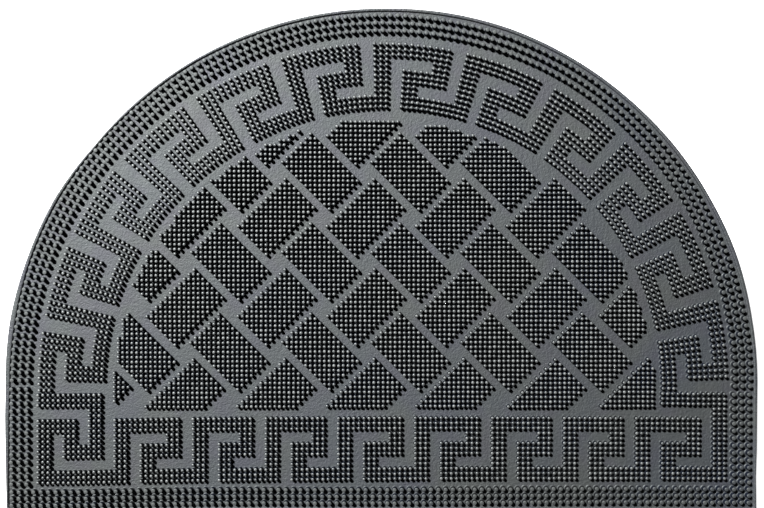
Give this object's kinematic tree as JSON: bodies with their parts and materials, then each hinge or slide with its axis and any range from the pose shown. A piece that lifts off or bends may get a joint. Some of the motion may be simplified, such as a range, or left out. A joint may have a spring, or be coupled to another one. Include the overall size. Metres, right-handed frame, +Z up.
{
  "type": "half round rubber doormat",
  "caption": "Half round pin doormat moulded in one piece, with a trimmed lip, a studded rim, a Greek key border and a basket weave field of scraping pins, lying flat.",
  "frame": {"origin": "middle of the footprint's bounding box, on the surface that the mat lies on", "axes": "+X to the right along the straight front edge, +Y from the front edge to the crown of the arch, +Z up"},
  "size_m": [0.6, 0.401, 0.007],
  "materials": {
    "mat_rubber": "moulded dark grey rubber with a dull grey sheen on its flat faces and fine grain"
  },
  "bodies": {
    "root": {"mat": "mat_rubber"}
  },
  "joints": []
}
